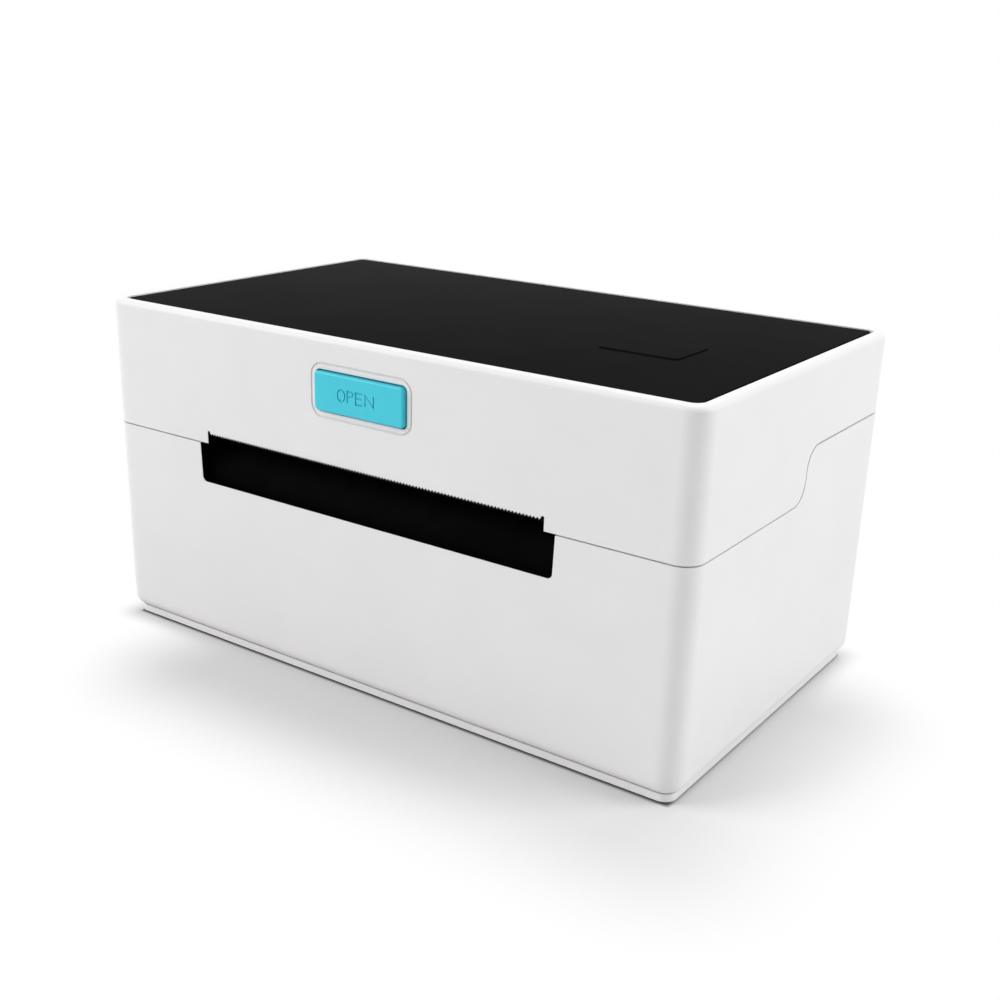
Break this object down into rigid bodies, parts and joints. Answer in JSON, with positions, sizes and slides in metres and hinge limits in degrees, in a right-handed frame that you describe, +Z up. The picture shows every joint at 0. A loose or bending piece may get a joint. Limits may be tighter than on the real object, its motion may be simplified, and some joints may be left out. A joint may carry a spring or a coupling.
{
  "type": "label printer",
  "caption": "Desktop label printer with a hinged lid, release button, paper slot, platen roller, print head and paper guides.",
  "frame": {"origin": "centre of the footprint on the surface that it stands on", "axes": "+X to the right seen from the front, +Y to the back, +Z up"},
  "size_m": [0.19, 0.115, 0.0976],
  "materials": {
    "white_plastic": "fine matt texture",
    "black_panel": "high gloss",
    "blue_plastic": "satin gloss",
    "black_plastic": "matt",
    "grey_plastic": "matt",
    "white_nylon": "satin",
    "steel": "zinc plated",
    "spring_steel": "bright",
    "aluminium": "mill",
    "brass": "bright",
    "black_rubber": "matt",
    "ceramic": "glazed",
    "board_green": "solder mask",
    "led_clear": "clear tinted"
  },
  "bodies": {
    "base": {"base_shell": "white_plastic", "bottom_plate": "white_plastic", "rubber_feet": "black_rubber", "paper_deck": "black_plastic", "body_screws": "steel", "exit_chute": "black_plastic", "side_plate_left": "steel", "side_plate_right": "steel", "strike_pins": "steel", "platen_bushings": "white_nylon", "stepper_motor": "steel", "short_screws": "steel", "idler_stud": "steel", "idler_clip": "spring_steel", "rack_cover": "black_plastic", "rack_screws": "steel", "main_board": "board_green", "board_parts": "black_plastic", "power_jack": "black_plastic", "usb_port": "black_plastic", "switch_frame": "black_plastic", "feed_switch": "grey_plastic", "status_light": "led_clear", "label_sensor": "black_plastic", "ribbon_base": "grey_plastic", "motor_cable": "black_plastic"},
    "lid": {"lid_shell": "white_plastic", "hinge_pins": "steel", "top_panel": "black_panel", "lid_inner_cover": "black_plastic", "lid_screws": "steel", "head_frame": "steel", "upper_sensor": "black_plastic", "ribbon_lid": "grey_plastic", "button_springs": "spring_steel", "head_springs": "spring_steel", "ribbon_hinge": "grey_plastic"},
    "head": {"head_ceramic": "ceramic", "heat_sink": "aluminium", "driver_cover": "black_plastic", "head_carrier": "steel", "head_screws": "steel", "head_socket": "black_plastic"},
    "button": {"open_button": "blue_plastic"},
    "latch": {"latch_shaft": "steel", "latch_hooks": "steel", "latch_lever": "white_nylon", "latch_clips": "spring_steel"},
    "platen": {"platen_shaft": "steel", "platen_rubber": "black_rubber", "platen_clip": "spring_steel", "platen_gear": "white_nylon"},
    "idler": {"idler_gear": "white_nylon"},
    "motor_rotor": {"motor_shaft": "steel", "motor_pinion": "brass"},
    "guide_left": {"guide_left": "black_plastic"},
    "guide_right": {"guide_right": "black_plastic"},
    "guide_pinion": {"guide_pinion": "white_nylon"},
    "rocker": {"power_rocker": "black_plastic"},
    "feed_button": {"feed_button": "grey_plastic"}
  },
  "joints": [
    {"name": "lid_hinge", "type": "hinge", "parent": "base", "child": "lid", "pos_m": [0, 0.053, 0.0876], "axis": [-1, 0, 0], "range_deg": [0, 85], "deforming": ["ribbon_hinge"]},
    {"name": "button_press", "type": "slide", "parent": "lid", "child": "button", "axis": [0, 1, 0], "range_m": [0, 0.0025], "stiffness_N_per_m": 600, "springref_m": -0.003, "deforming": ["button_springs"]},
    {"name": "latch_turn", "type": "hinge", "parent": "lid", "child": "latch", "pos_m": [0, -0.022, 0.071], "axis": [-1, 0, 0], "range_deg": [0, 11.2]},
    {"name": "head_float", "type": "hinge", "parent": "lid", "child": "head", "pos_m": [0, -0.022, 0.071], "axis": [-1, 0, 0], "range_deg": [0, 2], "stiffness_Nm_per_rad": 1.2, "springref_deg": -8.59, "deforming": ["head_springs"]},
    {"name": "platen_spin", "type": "hinge", "parent": "base", "child": "platen", "pos_m": [0, -0.039, 0.055], "axis": [1, 0, 0], "continuous": true},
    {"name": "idler_spin", "type": "hinge", "parent": "base", "child": "idler", "pos_m": [0, -0.03531, 0.04124], "axis": [1, 0, 0], "continuous": true},
    {"name": "motor_spin", "type": "hinge", "parent": "base", "child": "motor_rotor", "pos_m": [0, -0.01972, 0.03224], "axis": [1, 0, 0], "continuous": true},
    {"name": "guide_left_slide", "type": "slide", "parent": "base", "child": "guide_left", "axis": [1, 0, 0], "range_m": [0, 0.038]},
    {"name": "guide_right_slide", "type": "slide", "parent": "base", "child": "guide_right", "axis": [-1, 0, 0], "range_m": [0, 0.038]},
    {"name": "guide_pinion_spin", "type": "hinge", "parent": "base", "child": "guide_pinion", "pos_m": [0, 0.028, 0.056], "axis": [0, 0, 1], "range_deg": [0, 389]},
    {"name": "rocker_tip", "type": "hinge", "parent": "base", "child": "rocker", "pos_m": [0.028, 0.0539, 0.024], "axis": [0, 0, 1], "range_deg": [0, 16]},
    {"name": "feed_press", "type": "slide", "parent": "base", "child": "feed_button", "axis": [0, -1, 0], "range_m": [0, 0.0006], "stiffness_N_per_m": 1500, "springref_m": -0.0007}
  ],
  "couplings": [
    {"joint": "latch_turn", "follows": "button_press", "rad_per_m": 77.8},
    {"joint": "idler_spin", "follows": "platen_spin", "ratio": -2.1667},
    {"joint": "motor_spin", "follows": "platen_spin", "ratio": 6.5},
    {"joint": "guide_right_slide", "follows": "guide_left_slide", "ratio": 1},
    {"joint": "guide_pinion_spin", "follows": "guide_left_slide", "rad_per_m": 178.57}
  ]
}
